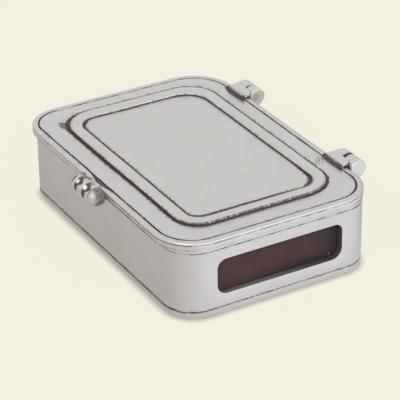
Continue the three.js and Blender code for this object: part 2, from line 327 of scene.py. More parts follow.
def pewter(name, tone, rough=0.34, stains=(), pits=(), scratches=(), fan=None, rubbed=False):
    """Satin pewter with fine mottling, slow dents, dark patina in its grooves, and the patina and
    painted shade that each piece gives its vertices.

    Stains are (centre, reach, strength), pits (centre, reach) and scratches (centre, reach,
    turn). A fan of scratches is ((Y, Z), start in X). Rubbed patina shows specks of bare metal.
    """
    nodes = Nodes(name)
    fine = nodes.noise(1.7, 3.0, 0.6)
    cloud = nodes.noise(0.16, 4.0, 0.6)
    slow = nodes.noise(0.05, 2.0, 0.5)
    speck = nodes.noise(0.75, 5.0, 0.7, warp=0.4)

    width = nodes.value("line_patina_and_shade")
    raggedness = nodes.ramp(width, 0.1, 0.8, 0.34, 0.9, "LINEAR")
    ragged = nodes.math("SUBTRACT", nodes.noise(1.1, 4.0, 0.65), 0.5)
    ragged = nodes.math("MULTIPLY", ragged, raggedness)
    uneven = nodes.ramp(nodes.noise(0.22, 2.0), 0.3, 0.7, -0.09, 0.09, "LINEAR")
    groove = nodes.math("ADD", nodes.math("ADD", nodes.value("groove"), ragged), uneven)
    past = nodes.math("SUBTRACT", groove, width)
    line_patina_and_shade = nodes.ramp(past, -LINE_EDGE, LINE_EDGE, 1.0, 0.0)
    haze = nodes.ramp(past, 0.0, HAZE_REACH, 1.0, 0.0)
    haze = nodes.math("MULTIPLY", haze, nodes.ramp(speck, 0.47, 0.60))
    haze = nodes.math("MULTIPLY", haze, nodes.ramp(width, 0.1, 0.5, 0.16, 0.55, "LINEAR"))
    patina_and_shade = nodes.math("MULTIPLY", nodes.value("patina_and_shade"), nodes.ramp(fine, 0.3, 0.7, 0.8, 1.3))
    patina_and_shade = nodes.math("MINIMUM", patina_and_shade, 1.0)
    if rubbed:
        bare = nodes.ramp(nodes.noise(1.25, 3.0, 0.6), 0.55, 0.63, 1.0, 0.1)
        patina_and_shade = nodes.math("MULTIPLY", patina_and_shade, bare)
    if fan:
        patina_and_shade = nodes.math("MULTIPLY", patina_and_shade, nodes.fan(*fan))
    # Dark is patina, with painted shade where a piece puts it into its lines and vertex values
    dark = nodes.math("MAXIMUM", nodes.math("MAXIMUM", line_patina_and_shade, haze), patina_and_shade)
    for centre, reach, strength in stains:
        blot = nodes.ramp(nodes.math("MULTIPLY", nodes.near(centre, reach), speck), 0.12, 0.36)
        dark = nodes.math("MAXIMUM", dark, nodes.math("MULTIPLY", blot, strength))
    for centre, reach in pits:
        pit = nodes.math("MULTIPLY", nodes.near(centre, reach), 0.9)
        dark = nodes.math("MAXIMUM", dark, pit)
    for centre, reach, turn in scratches:
        lines = nodes.noise(1.0, 2.0, 0.6, place=nodes.stretched((6.0, 0.45, 6.0), turn))
        lines = nodes.ramp(lines, 0.50, 0.60, 0.0, 0.9)
        cut = nodes.math("MULTIPLY", lines, nodes.near(centre, reach))
        dark = nodes.math("MAXIMUM", dark, cut)

    light = tuple(part * 1.015 for part in tone[:3]) + (1.0,)
    dull = tuple(part * 0.975 for part in tone[:3]) + (1.0,)
    colour = nodes.mix(nodes.ramp(fine, 0.3, 0.7), dull, light)
    tarnish = (tone[0] * 0.93, tone[1] * 0.92, tone[2] * 0.90, 1.0)
    colour = nodes.mix(nodes.ramp(cloud, 0.4, 0.75, 0.0, 0.45), colour, tarnish)
    pepper = nodes.ramp(nodes.noise(2.2, 2.0, 0.5), 0.70, 0.76, 0.0, 0.35)
    pepper = nodes.math("MULTIPLY", pepper, nodes.ramp(cloud, 0.45, 0.65))
    dark = nodes.math("MAXIMUM", dark, pepper)
    patina = nodes.mix(nodes.ramp(fine, 0.35, 0.7), PATINA_DEEP, PATINA_THIN)
    colour = nodes.mix(dark, colour, patina)

    gloss = nodes.ramp(cloud, 0.3, 0.7, rough - 0.02, rough + 0.03, "LINEAR")
    gloss = nodes.math("ADD", gloss, nodes.math("MULTIPLY", dark, 0.3))
    if fan:
        gloss = nodes.math("ADD", gloss, nodes.math("MULTIPLY", nodes.beyond(fan[1]), 0.2))
    metal = nodes.ramp(dark, 0.0, 1.0, 1.0, 0.2, "LINEAR")
    height = nodes.math("MULTIPLY", slow, DENT_HEIGHT)
    height = nodes.math("MULTIPLY_ADD", cloud, 0.03, height)
    height = nodes.math("MULTIPLY_ADD", fine, 0.006, height)
    return nodes.finish(colour, gloss, metal, height)


MAROON_DEEP = (0.060, 0.024, 0.025, 1.0)
MAROON_LIGHT = (0.070, 0.029, 0.030, 1.0)
GRIT = (0.08, 0.05, 0.05, 1.0)
WORN_AND_SHADED_PAPER = (0.020, 0.016, 0.018, 1.0)
DUST = (0.34, 0.32, 0.27, 1.0)
STRIKER_SPECKS = (((49.6, 19.6, 7.8), 0.6, 0.7), ((49.6, 2.2, 13.7), 0.45, 0.3))


def striker_paper(name):
    """Maroon striking paper, with a painted shadow of the window's reveal over its back end, and a
    dark worn edge with painted shade along its lower edge there.
    """
    nodes = Nodes(name)
    along, rise = nodes.axes()[1:]
    rough_edge = nodes.math("MULTIPLY_ADD", nodes.noise(0.7, 4.0, 0.7), 2.4, -1.2)
    height = nodes.math("ADD", rise, rough_edge)
    # Painted shadow of the window's reveal over the back end, and a worn dark lower edge with
    # painted shade, stronger towards the back
    back_end_shadow = nodes.ramp(along, 11.0, 21.5, 0.0, 0.8)
    low_edge_wear_and_shade = nodes.math("MULTIPLY", nodes.ramp(height, 8.0, 10.2, 0.9, 0.0),
                          nodes.ramp(along, -12.0, 12.0, 0.2, 1.0))
    worn = nodes.math("MAXIMUM", back_end_shadow, low_edge_wear_and_shade)
    grain = nodes.noise(3.0, 3.0, 0.7)
    cloud = nodes.noise(0.12, 4.0, 0.6)
    colour = nodes.mix(nodes.ramp(cloud, 0.3, 0.7), MAROON_DEEP, MAROON_LIGHT)
    colour = nodes.mix(nodes.ramp(grain, 0.55, 0.8, 0.0, 0.4), colour, GRIT)
    colour = nodes.mix(worn, colour, WORN_AND_SHADED_PAPER)
    for centre, radius, strength in STRIKER_SPECKS:
        speck = nodes.math("MULTIPLY", nodes.near(centre, (radius,) * 3), strength)
        colour = nodes.mix(speck, colour, DUST)
    return nodes.finish(colour, 0.8, 0.0, nodes.math("MULTIPLY", grain, 0.05))


def fibre_board(name):
    """Dark board with its fibres along Y."""
    nodes = Nodes(name)
    fibre = nodes.noise(1.2, 4.0, 0.7, place=nodes.stretched((1.0, 4.0, 1.0)))
    colour = nodes.mix(nodes.ramp(fibre, 0.3, 0.7),
                       (0.024, 0.018, 0.015, 1.0), (0.045, 0.034, 0.028, 1.0))
    return nodes.finish(colour, 0.85, 0.0, nodes.math("MULTIPLY", fibre, 0.08))


def pin_metal(name):
    """Steel with turning marks round X."""
    nodes = Nodes(name)
    turned = nodes.noise(4.0, 3.0, 0.6, place=nodes.stretched((0.25, 1.6, 1.6)))
    colour = nodes.mix(nodes.ramp(turned, 0.3, 0.7),
                       (0.25, 0.24, 0.23, 1.0), (0.38, 0.37, 0.36, 1.0))
    gloss = nodes.ramp(turned, 0.2, 0.8, 0.3, 0.45)
    return nodes.finish(colour, gloss, 1.0, nodes.math("MULTIPLY", turned, 0.01))


lid_metal = pewter(
    "lid_metal", (0.60, 0.585, 0.575, 1.0), rubbed=True,
    stains=(((-38.6, -27.2, 26.8), (6.4, 3.0, 1.4), 0.75),),
    scratches=(((25.2, 31.4, 26.8), (4.8, 4.8, 1.3), -0.48),))
body_metal = pewter(
    "body_metal", (0.58, 0.565, 0.565, 1.0), rough=0.40,
    stains=(((50.5, -32.6, 17.5), (1.6, 1.6, 1.6), 0.35),),
    pits=(((3.0, -35.0, 13.5), (0.35, 0.35, 0.35)), ((14.5, -35.0, 20.8), (0.3, 0.3, 0.3))))
hinge_metal = pewter(
    "hinge_metal", (0.61, 0.595, 0.58, 1.0),
    stains=(((-25.4, 38.9, 26.2), (1.2, 2.6, 2.6), 0.35),))
finial_metal = pewter(
    "finial_metal", (0.60, 0.585, 0.57, 1.0), rough=0.29, fan=((-36.9, 25.5), 5.3))


# Rows of points for the lid and the body

def clamp(value):
    return min(max(value, 0.0), 1.0)


def row_at(points, height):
    return [(point.x, point.y, height) for point, out in points]


def between(first, second, share):
    return [(a[0].lerp(b[0], share), a[1]) for a, b in zip(first, second)]


rim_wave = ripple(4, 3, 17)
frame_wave = ripple(9, 3, 15)
panel_wave = ripple(15, 3, 15)
RIM_WAVE = 0.10
FRAME_WAVE = 0.12


def lid_line(inset, wave=0.0):
    """The lid's edge moved in, with unevenness of a height in millimetres."""
    return waved(rounded(LID_HALF, LID_CORNERS, inset, LID_SHIFT), rim_wave, wave)


def seam_line(inset):
    """The seam round the plate, a little further out along the front and the left."""
    return [(point + out * (0.16 * max(-out.y, 0) + 0.08 * max(-out.x, 0)), out)
            for point, out in lid_line(inset, RIM_WAVE)]


def frame_line(inset):
    """The raised frame's outer edge moved in."""
    return waved(rounded(FRAME_HALF, FRAME_CORNERS, inset, FRAME_SHIFT), frame_wave, FRAME_WAVE)


def panel_line(inset):
    """The edge of the panel inside the raised frame moved in."""
    return waved(rounded(PANEL_HALF, PANEL_CORNERS, inset), panel_wave, FRAME_WAVE)


def sides(out):
    """How far a direction points back, left, front and right."""
    return max(out.y, 0), max(-out.x, 0), max(-out.y, 0), max(out.x, 0)


def hump(value, centre, reach):
    return math.exp(-((value - centre) / reach) ** 2)


# Widths of the dark lines in millimetres, from a place on a line and the way that it faces

def seam_width(point, out):
    back, left, front, right = sides(out)
    return 0.11 + 0.02 * back - 0.07 * left + 0.02 * front + 0.08 * min(back, right)


def rim_seam_width(point, out):
    """The seam's rim side, with a broad dark patch behind the finial that is patina and the
    finial's painted shadow.
    """
    front = max(-out.y, 0)
    # The hump behind the finial is patina widened by the finial's painted shadow
    return seam_width(point, out) + 0.22 * front + 1.5 * front * hump(point.x, 2.8, 5.2)


def foot_width(point, out):
    """The plate's side of the line round the raised frame, broad in the middle of the front."""
    back, left, front, right = sides(out)
    broad = front * (0.4 * clamp((18.0 - point.x) / 22.0) + 0.2 * hump(point.x, 26.0, 12.0))
    return 0.15 + 1.1 * back + 1.50 * left + 0.45 * front + 0.05 * right + broad


def foot_wall_width(point, out):
    """The frame's side of the same line."""
    _, left, front, right = sides(out)
    return 0.3 + 0.5 * front + 0.3 * right + 0.4 * left


def panel_width(point, out):
    """The panel's side of the line inside the frame, broad on the right and by its corner."""
    back, left, front, right = sides(out)
    near_corner = back * clamp((point.x - 22.0) / 12.0)
    strip = 1.8 * right * (1.0 - 0.45 * clamp((point.y - 6.0) / 14.0))
    return 0.15 - 0.02 * back - 0.04 * left + 1.2 * front + strip + near_corner


def panel_wall_width(point, out):
    """The frame's side of the same line."""
    return 0.3 + 0.15 * max(out.y, 0)


def opening_width(point, out):
    back, left, front, right = sides(out)
    near_finial = 0.3 * front * clamp((point.x - 4.0) / 4.0) * clamp((45.0 - point.x) / 15.0)
    corner = 0.25 * min(back, right)
    return 0.04 + 0.1 * back + 0.2 * left + 0.2 * front - 0.1 * right + corner + near_finial


def edge_width(point, out):
    """A fine line along the rim's side, which shows best to the right of the finial."""
    return 0.03 + 0.09 * max(-out.y, 0) * clamp((point.x - 4.0) / 4.0)


def band_width(point, out):
    """The line below the mouth band, which fades along the front."""
    back, left, front, _ = sides(out)
    return 0.10 + 0.1 * back + 0.12 * left + 0.22 * front * clamp((20.0 - point.x) / 60.0)


def base_width(point, out):
    """The line above the foot."""
    back, left, front, _ = sides(out)
    return 0.16 + 0.1 * back + 0.1 * left + 0.14 * front


# Patina away from the lines, 0 to 1, from a place, the way that it faces and its height

def frame_soot(point, out, height):
    """Dark window end of the frame's outer side, darkest along its top edge."""
    right = max(out.x, 0)
    if height > FRAME_TOP - 0.1:
        return 0.0
    return right * right * (1.0 if height > FRAME_TOP - 0.2 else 0.8)


def rim_soot(point, out, height):
    """A faint line along the back edge of the rim, stronger near the right hinge."""
    if height != EDGE_TOP:
        return 0.0
    return max(out.y, 0) * (0.35 + 0.45 * clamp((point.x - 5.0) / 20.0))


def clean(point, out, height):
    return 0.0


def build(name, layers, closed=False, cap_first=False, cap_last=False, patina_and_shade=clean):
    """A lofted piece; each layer is (points, height, groove, width function)."""
    rows = []
    grooves = []
    widths = []
    patina_and_shade_values = []
    for points, height, groove, width in layers:
        rows.append(row_at(points, height))
        grooves += [groove] * len(points)
        widths += [width(point, out) for point, out in points]
        patina_and_shade_values += [patina_and_shade(point, out, height) for point, out in points]
    shown = to_object(name, loft(rows, closed, cap_first, cap_last))
    write_patina_and_shade(shown, grooves, widths, patina_and_shade_values)
    smooth(shown)
    return shown


# Lid

def make_rim():
    """Outside from the opening up, over the top, down the seam and under the plate's seat."""
    layers = []
    for inset, height in quarter((0.16, RIM_BOTTOM), (0.0, RIM_BOTTOM + 0.16), False, 3):
        layers.append((lid_line(inset), height, height - RIM_BOTTOM, opening_width))
    layers.append((lid_line(0.0), RIM_BOTTOM + 0.9, 0.9, opening_width))
    for inset, rise in ((0.0, -0.12), (0.05, -0.04), (0.05, 0.04), (0.0, 0.12)):
        layers.append((lid_line(inset), EDGE_LINE + rise, max(abs(rise) - 0.04, 0.0), edge_width))
    for inset, height in quarter((0.0, LID_TOP - 0.45), (0.5, LID_TOP), True):
        layers.append((lid_line(inset), height, 2.3 - inset, rim_seam_width))
    layers.append((lid_line(0.62), EDGE_TOP, 1.6, rim_seam_width))
    layers.append((lid_line(0.78), LID_TOP, 1.4, rim_seam_width))
    layers.append((lid_line(1.2, 0.3 * RIM_WAVE), LID_TOP, 0.95, rim_seam_width))
    layers.append((lid_line(1.7, 0.8 * RIM_WAVE), LID_TOP, 0.45, rim_seam_width))
    for inset, height in quarter((2.0, LID_TOP), (RIM_INNER, LID_TOP - 0.15), False, 3):
        layers.append((seam_line(inset), height, max(RIM_INNER - inset, 0.0), rim_seam_width))
    layers.append((seam_line(RIM_INNER), PLATE_BOTTOM, 0.0, rim_seam_width))
    layers.append((lid_line(SEAT_EDGE), PLATE_BOTTOM, 0.5, seam_width))
    layers.append((lid_line(SEAT_EDGE), RIM_BOTTOM, NO_GROOVE, seam_width))
    return build("rim", layers, closed=True, patina_and_shade=rim_soot)


def make_plate():
    """Underside, seam, and the top from the seam to the middle of the panel."""
    round_end = PLATE_EDGE + PLATE_ROUND
    straight_top = LID_TOP - PLATE_ROUND
    layers = [
        (lid_line(8.0), PLATE_BOTTOM, NO_GROOVE, seam_width),
        (lid_line(4.2), PLATE_BOTTOM, 0.5, seam_width),
        (lid_line(SEAT_EDGE), PLATE_BOTTOM, 0.0, seam_width),
        (seam_line(PLATE_EDGE), PLATE_BOTTOM, 0.0, seam_width),
        (seam_line(PLATE_EDGE), straight_top, 0.0, seam_width),
    ]
    for inset, height in quarter((PLATE_EDGE, straight_top), (round_end, LID_TOP), True, 3):
        layers.append((seam_line(inset), height, inset - PLATE_EDGE, seam_width))
    start = seam_line(round_end)
    foot = frame_line(0.0)
    for share in (0.05, 0.1, 0.2, 0.35):
        layers.append((between(start, foot, share), LID_TOP, 0.25 + 6 * share, seam_width))
    layers.append((between(start, foot, 0.5), LID_TOP, 3.0, foot_width))
    for reach in (2.2, 1.5, 1.0, 0.6, 0.3, 0.0):
        layers.append((frame_line(-reach), LID_TOP, reach, foot_width))
    layers.append((frame_line(1.0), LID_TOP, 0.0, foot_width))
    layers.append((panel_line(-1.0), LID_TOP, 0.0, panel_width))
    for inset in (0.0, 0.25, 0.5, 0.9, 1.4, 2.2, 3.5):
        layers.append((panel_line(inset), LID_TOP, inset, panel_width))
    for inset in (6.0, 10.0, 15.0, 21.0):
        layers.append((panel_line(inset), LID_TOP, NO_GROOVE, panel_width))
    return build("plate", layers, cap_first=True, cap_last=True)


def make_frame():
    """The raised frame: outer wall, slightly crowned top, inner wall."""
    crown = FRAME_TOP - FRAME_CROWN
    layers = [
        (frame_line(0.0), LID_TOP, 0.0, foot_wall_width),
        (frame_line(0.0), LID_TOP + 0.25, 0.25, foot_wall_width),
    ]
    for inset, height in quarter((0.0, crown - FRAME_ROUND), (FRAME_ROUND, crown), True):
        layers.append((frame_line(inset), height, height - LID_TOP + inset, foot_wall_width))
    layers.append((frame_line(0.6), crown + 0.055, 1.5, foot_wall_width))
    layers.append((frame_line(0.9), crown + 0.09, 1.8, foot_wall_width))
    layers.append((frame_line(CROWN_RUN), FRAME_TOP, 3.0, foot_wall_width))
    middle = between(frame_line(CROWN_RUN), panel_line(-CROWN_RUN), 0.5)
    layers.append((middle, FRAME_TOP, NO_GROOVE, panel_wall_width))
    layers.append((panel_line(-CROWN_RUN), FRAME_TOP, 3.0, panel_wall_width))
    layers.append((panel_line(-0.9), crown + 0.07, 1.8, panel_wall_width))
    for inset, height in quarter((-FRAME_ROUND, crown), (0.0, crown - FRAME_ROUND), False):
        layers.append((panel_line(inset), height, height - LID_TOP - inset, panel_wall_width))
    layers.append((panel_line(0.0), LID_TOP + 0.25, 0.25, panel_wall_width))
    layers.append((panel_line(0.0), LID_TOP, 0.0, panel_wall_width))
    return build("moulding", layers, closed=True, patina_and_shade=frame_soot)


# Body

def body_line(inset, side_steps=SIDE_STEPS):
    return rounded(BODY_HALF, BODY_CORNERS, inset, side_steps=side_steps)


def make_base():
    """The base plate, with the rounded foot that shows below the wall."""
    layers = []
    for inset, height in quarter((FOOT_ROUND, 0.0), (0.0, FOOT_ROUND), False, 6):
        layers.append((body_line(inset), height, 2.1 - height * 0.3, base_width))
    layers.append((body_line(0.0), 2.1, 0.6, base_width))
    for inset, height in quarter((0.0, FOOT_TOP - 0.2), (0.2, FOOT_TOP), True, 3):
        layers.append((body_line(inset), height, FOOT_TOP - height, base_width))
    layers.append((body_line(WALL_THICKNESS), FOOT_TOP, 0.0, base_width))
    layers.append((body_line(3.5), FOOT_TOP, 1.5, base_width))
    layers.append((body_line(9.0), FOOT_TOP, NO_GROOVE, base_width))
    return build("base", layers, cap_first=True, cap_last=True)


def make_mouth():
    """The narrow band between the wall and the opening."""
    layers = []
    for inset, height in quarter((0.12, WALL_TOP), (0.0, WALL_TOP + 0.12), False, 3):
        layers.append((body_line(inset), height, height - WALL_TOP, band_width))
    layers.append((body_line(0.0), WALL_TOP + 0.65, 0.6, band_width))
    for inset, height in quarter((0.0, MOUTH - 0.16), (0.16, MOUTH), True, 4):
        layers.append((body_line(inset), height, max(MOUTH - height, 0.0) + 0.1, opening_width))
    layers.append((body_line(1.0), MOUTH, 0.6, opening_width))
    layers.append((body_line(2.3), MOUTH, 1.5, opening_width))
    layers.append((body_line(WALL_THICKNESS), MOUTH - 0.2, 1.5, opening_width))
    layers.append((body_line(WALL_THICKNESS), WALL_TOP, 0.0, band_width))
    return build("mouth", layers, closed=True)


WINDOW_FRONT = -21.9
WINDOW_BACK = 22.8
WINDOW_LOW = 6.9
WINDOW_HIGH = 19.0
WINDOW_EDGE = 0.05
WINDOW_DEPTH = (48, 51.9)
WINDOW_CUT = (47.0, 55.0)
STRIKER_LINE = 49.6


def window_outline(steps=12):
    """The window's corners in Y and Z, counter-clockwise seen from +X."""
    corners = (
        (WINDOW_BACK, WINDOW_LOW, 3.6, -1, 1, -90),
        (WINDOW_BACK, WINDOW_HIGH, 2.6, -1, -1, 0),
        (WINDOW_FRONT, WINDOW_HIGH, 3.0, 1, -1, 90),
        (WINDOW_FRONT, WINDOW_LOW, 3.5, 1, 1, 180),
    )
    points = []
    for y, z, radius, way_y, way_z, first in corners:
        for step in range(steps + 1):
            angle = math.radians(first + 90 * step / steps)
            points.append((y + way_y * radius + radius * math.cos(angle),
                           z + way_z * radius + radius * math.sin(angle)))
    return points


def in_window(y, z):
    return (WINDOW_FRONT - WINDOW_EDGE <= y <= WINDOW_BACK + WINDOW_EDGE
            and WINDOW_LOW - WINDOW_EDGE <= z <= WINDOW_HIGH + WINDOW_EDGE)


def wall_out(x, y):
    """The way that the wall faces at a place."""
    if abs(y) > BODY_HALF[1] - 1:
        return Vector((0, math.copysign(1, y)))
    if abs(x) > BODY_HALF[0] - 1:
        return Vector((math.copysign(1, x), 0))
    return Vector((x / BODY_HALF[0], y / BODY_HALF[1])).normalized()


def wall_patina_and_shade(place):
    """Lines at the wall's two seams, and patina in the window with painted shade that darkens it
    towards its back end.
    """
    x, y, z = place
    if WINDOW_DEPTH[0] < x < WINDOW_DEPTH[1] and in_window(y, z):
        # The reveal's patina, with painted shade rising towards the window's back end
        return max(x - STRIKER_LINE, 0.0), 0.4, 0.15 + 0.85 * clamp((y - WINDOW_FRONT) / 30.0)
    if abs(x) < BODY_HALF[0] - 2.4 and abs(y) < BODY_HALF[1] - 2.4:
        return NO_GROOVE, 0.1, 0.0
    out = wall_out(x, y)
    if z < 10:
        return z - FOOT_TOP, base_width(Vector((x, y)), out), 0.0
    return WALL_TOP - z, band_width(Vector((x, y)), out), 0.0


def age_and_shade(shown, rule, degrees):
    """Patina and painted shade by a rule, which gives a groove, a width and a darkening for a place
    in millimetres.
    """
    write_patina_and_shade(shown, *zip(*(rule(vertex.co / MM) for vertex in shown.data.vertices)))
    smooth(shown, degrees)


def make_wall():
    """The wall band, with the window cut through its right end and all edges softened."""
    profile = [
        (0.12, FOOT_TOP), (0.035, FOOT_TOP + 0.035), (0.0, FOOT_TOP + 0.12), (0.0, 3.4), (0.0, 4.4),
        (0.0, 21.2), (0.0, 22.2), (0.0, WALL_TOP - 0.12), (0.035, WALL_TOP - 0.035),
        (0.12, WALL_TOP), (WALL_THICKNESS, WALL_TOP), (WALL_THICKNESS, FOOT_TOP)]
    rows = [row_at(body_line(inset, 1), height) for inset, height in profile]
    shown = to_object("wall", loft(rows, True))
    ring = window_outline()
    cutter = to_object("window_cutter", loft([[(x, y, z) for y, z in ring] for x in WINDOW_CUT],
                                             False, True, True))
    cut = shown.modifiers.new("window", "BOOLEAN")
    cut.object = cutter
    cut.operation = "DIFFERENCE"
    cut.solver = "EXACT"
    apply_modifiers(shown)
    bpy.data.objects.remove(cutter)
    soft = shown.modifiers.new("soft", "BEVEL")
    soft.width = 0.22 * MM
    soft.segments = 3
    soft.limit_method = "ANGLE"
    soft.angle_limit = math.radians(50)
    apply_modifiers(shown)
    age_and_shade(shown, wall_patina_and_shade, 30)
    return shown


# Pieces with soft cast edges, made from the frame's own shapes

def softened(node, name, voxel, rounds):
    """A copy of a frame piece with its edges worn round."""
    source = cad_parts[node]
    made = bmesh.new()
    made.from_mesh(source.data)
    bmesh.ops.remove_doubles(made, verts=made.verts, dist=1e-7)
    shown = to_object(name, made)
    cells = shown.modifiers.new("cells", "REMESH")
    cells.mode = "VOXEL"
    cells.voxel_size = voxel * MM
    apply_modifiers(shown)
    worn = shown.modifiers.new("worn", "SMOOTH")
    worn.factor = 0.5
    worn.iterations = rounds
    apply_modifiers(shown)
    return shown


# Middle in X and half the width of the painted shade in each hinge's gap between knuckle and lug
KNUCKLE_GAPS = ((-29.8, 0.25), (30.1, 0.7))
KNUCKLE_FRONT = 37.4
KNUCKLE_BOTTOM = 22.9
STRAP_TOP = 28.4


def gap_line(place):
    """Distance past the edge of the painted shade in the nearer gap between a strap's knuckle and
    its lug.
    """
    if place.y < KNUCKLE_FRONT or place.z < KNUCKLE_BOTTOM:
        return NO_GROOVE
    # Painted shade in the gaps beside the knuckles
    return min(abs(place.x - gap) - width for gap, width in KNUCKLE_GAPS)


def strap_patina_and_shade(place):
    """Painted shade with patina on the front end, line on the rim, and painted shade in the gap
    beside the lug.
    """
    # Painted shade with patina on the strap's front end face
    end = clamp((STRAP_TOP + 0.1 - place.z) / 0.7) * clamp((34.8 - place.y) / 0.5)
    low = place.z - LID_TOP - 0.1 if place.y < 36.4 else NO_GROOVE
    return min(gap_line(place), low), 0.0, end


def lug_patina_and_shade(place):
    """Painted shade in the gap beside the strap, and a line where the lug meets the wall."""
    return min(gap_line(place), place.y - 35.3), 0.0, 0.0


# Finial: three discs and a domed end along the front of the rim, with coves between them

FINIAL_Y = -38.4
FINIAL_Z = 23.75
FINIAL_BACK = -36.25
FINIAL_FLOOR = -36.8

# (X, radius) along the finial, (X, height) of its joint with the rim, and the (start, end) in X
# of the falling sides that lead down to the coves
TURNING = (
    (-8.3, 0.7), (-8.0, 1.3), (-7.4, 1.75), (-6.9, 1.9), (-6.65, 2.2), (-6.45, 2.7), (-6.2, 2.85),
    (-5.2, 2.85), (-4.6, 2.7), (-3.9, 2.35), (-3.3, 1.9), (-2.95, 1.7), (-2.75, 2.0), (-2.6, 2.8),
    (-2.4, 3.0), (-0.2, 3.03), (0.4, 2.9), (1.1, 2.5), (1.8, 2.0), (2.25, 1.7), (2.45, 2.0),
    (2.65, 2.8), (2.85, 3.03), (4.5, 3.05), (4.85, 2.98), (5.0, 2.84), (5.15, 2.96), (5.8, 2.9),
    (6.5, 2.6), (7.1, 2.05), (7.6, 1.3), (7.9, 0.6))
SHOULDER = (
    (-8.3, 0.8), (-7.8, 2.2), (-7.3, 2.9), (-7.0, 3.03), (5.2, 3.03), (6.2, 2.75), (7.2, 2.0),
    (7.9, 0.8))
FLANKS = ((-4.8, -2.85), (0.3, 2.35))
JOINT_SPOTS = (-6.2, -2.0, 6.3)
FINIAL_STATIONS = 190


def follow(line, x):
    """Height of a line of points at x."""
    for (first, low), (after, high) in zip(line, line[1:]):
        if x <= after:
            return low + (high - low) * max(x - first, 0.0) / (after - first)
    return line[-1][1]


def eased(line, x, reach=0.09):
    """The same with its corners eased."""
    return sum(follow(line, x + reach * step / 2) for step in (-2, -1, 0, 1, 2)) / 5


def finial_section(x, steps=44):
    """Y and Z round the finial: a disc joined to the top edge and the side of the rim."""
    radius = eased(TURNING, x)
    shoulder = eased(SHOULDER, x)
    top = Vector((FINIAL_BACK - FINIAL_Y, shoulder))
    low = Vector((FINIAL_FLOOR - FINIAL_Y, -0.9 * shoulder))
    first = math.atan2(top.y, top.x) + math.acos(min(radius / top.length, 1.0))
    last = 2 * math.pi + math.atan2(low.y, low.x) - math.acos(min(radius / low.length, 1.0))
    ring = [top]
    for step in range(steps + 1):
        angle = first + (last - first) * step / steps
        ring.append(Vector((math.cos(angle), math.sin(angle))) * radius)
    ring.append(low)
    return [(point.x + FINIAL_Y, point.y + FINIAL_Z) for point in ring]


def finial_patina_and_shade(place):
    """Patina in the grooves, with painted shade on the discs where the grooves would run deeper,
    patina and painted shade at the far end, and patina on the filed side of the domed end.
    """
    turn = math.degrees(math.atan2(place.z - FINIAL_Z, FINIAL_Y - place.y))
    away = clamp((-36.9 - place.y) / 0.5)
    patina_and_shade = 0.8 * hump(place.x, -2.5, 0.3) * (1 - away)
    for edge, groove in FLANKS:
        if edge < place.x < groove + 0.15:
            share = (place.x - edge) / (groove - edge)
            round_spot = clamp(max(turn - 60, 38 - turn) / 12) * clamp(share / 0.15)
            patina_and_shade = max(patina_and_shade, away * max(clamp((share - 0.45) / 0.25), round_spot))
        # Painted shade of a groove that runs deeper than the shape, spread over the next disc
        # around its upper front
        spread = 2.4 * hump(turn, 55, 26)
        if groove < place.x < groove + spread:
            patina_and_shade = max(patina_and_shade, away * clamp((groove + spread - place.x) / 0.35))
    # The far end: dark patina, with painted shade on its lower outer side
    if place.x < -5.5:
        low_side = away * clamp((80 - turn) / 12) * clamp((turn - 16) / 12)
        patina_and_shade = max(clamp((-6.9 - place.x) / 0.2), low_side * clamp((-5.5 - place.x) / 0.3))
    joint = clamp((place.y + 37.0) / 0.2) * clamp((place.z - 25.6) / 0.3)
    spots = [hump(place.x, spot, 1.5) for spot in JOINT_SPOTS]
    patina_and_shade = max(patina_and_shade, joint * min(1.6 * max(spots), 1.0))
    if place.x > 5.2:
        patina_and_shade = 0.72 * clamp((place.y + 40.4) / 1.3) * clamp((place.x - 5.2) / 0.3)
    line = hump(place.x, 4.9, 0.2) * clamp((place.z - 23.6) / 1.2)
    return max(patina_and_shade, 0.9 * line)


def make_finial():
    first = TURNING[0][0]
    last = TURNING[-1][0]
    rows = []
    for step in range(FINIAL_STATIONS + 1):
        x = first + (last - first) * step / FINIAL_STATIONS
        rows.append([(x, y, z) for y, z in finial_section(x)])
    shown = to_object("finial", loft(rows, False, True, True))
    age_and_shade(shown, lambda place: (NO_GROOVE, 0.2, finial_patina_and_shade(place)), 50)
    return shown


# Every piece takes the place of its node in the frame

HINGE_VOXEL = 0.11
HINGE_WEAR = 12

hand_over(make_rim(), "lid_rim", "lid", lid_metal)
hand_over(make_plate(), "lid_plate", "lid", lid_metal)
hand_over(make_frame(), "lid_frame", "lid", lid_metal)
hand_over(make_finial(), "thumbpiece", "lid", finial_metal)
hand_over(make_base(), "base_plate", "box", body_metal)
hand_over(make_wall(), "body_wall", "box", body_metal)
hand_over(make_mouth(), "mouth_band", "box", body_metal)

for node, name, body, rule in (
        ("hinge_strap_left", "strap_left", "lid", strap_patina_and_shade),
        ("hinge_strap_right", "strap_right", "lid", strap_patina_and_shade),
        ("hinge_lug_left", "lug_left", "box", lug_patina_and_shade),
        ("hinge_lug_right", "lug_right", "box", lug_patina_and_shade)):
    piece = softened(node, name, HINGE_VOXEL, HINGE_WEAR)
    age_and_shade(piece, rule, 60)
    hand_over(piece, node, body, hinge_metal)

for node, material in (
        ("striker_strip", striker_paper("striker_paper")),
        ("striker_backing", fibre_board("fibre_board")),
        ("hinge_pin_left", pin_metal("pin_metal")),
        ("hinge_pin_right", pin_metal("pin_metal_right"))):
    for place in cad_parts[node].material_slots:
        place.material = material


# Camera at the photograph's angle; REACH is its place right of, above and behind the middle of
# the foot's top, in its own directions

AZIMUTH = 1.05147
ELEVATION = 0.50137
ROLL = -0.012618
FOCAL = 1961.17
PIXELS = 400
SENSOR = 36.0
REACH = (1.619, 5.792, 643.137)


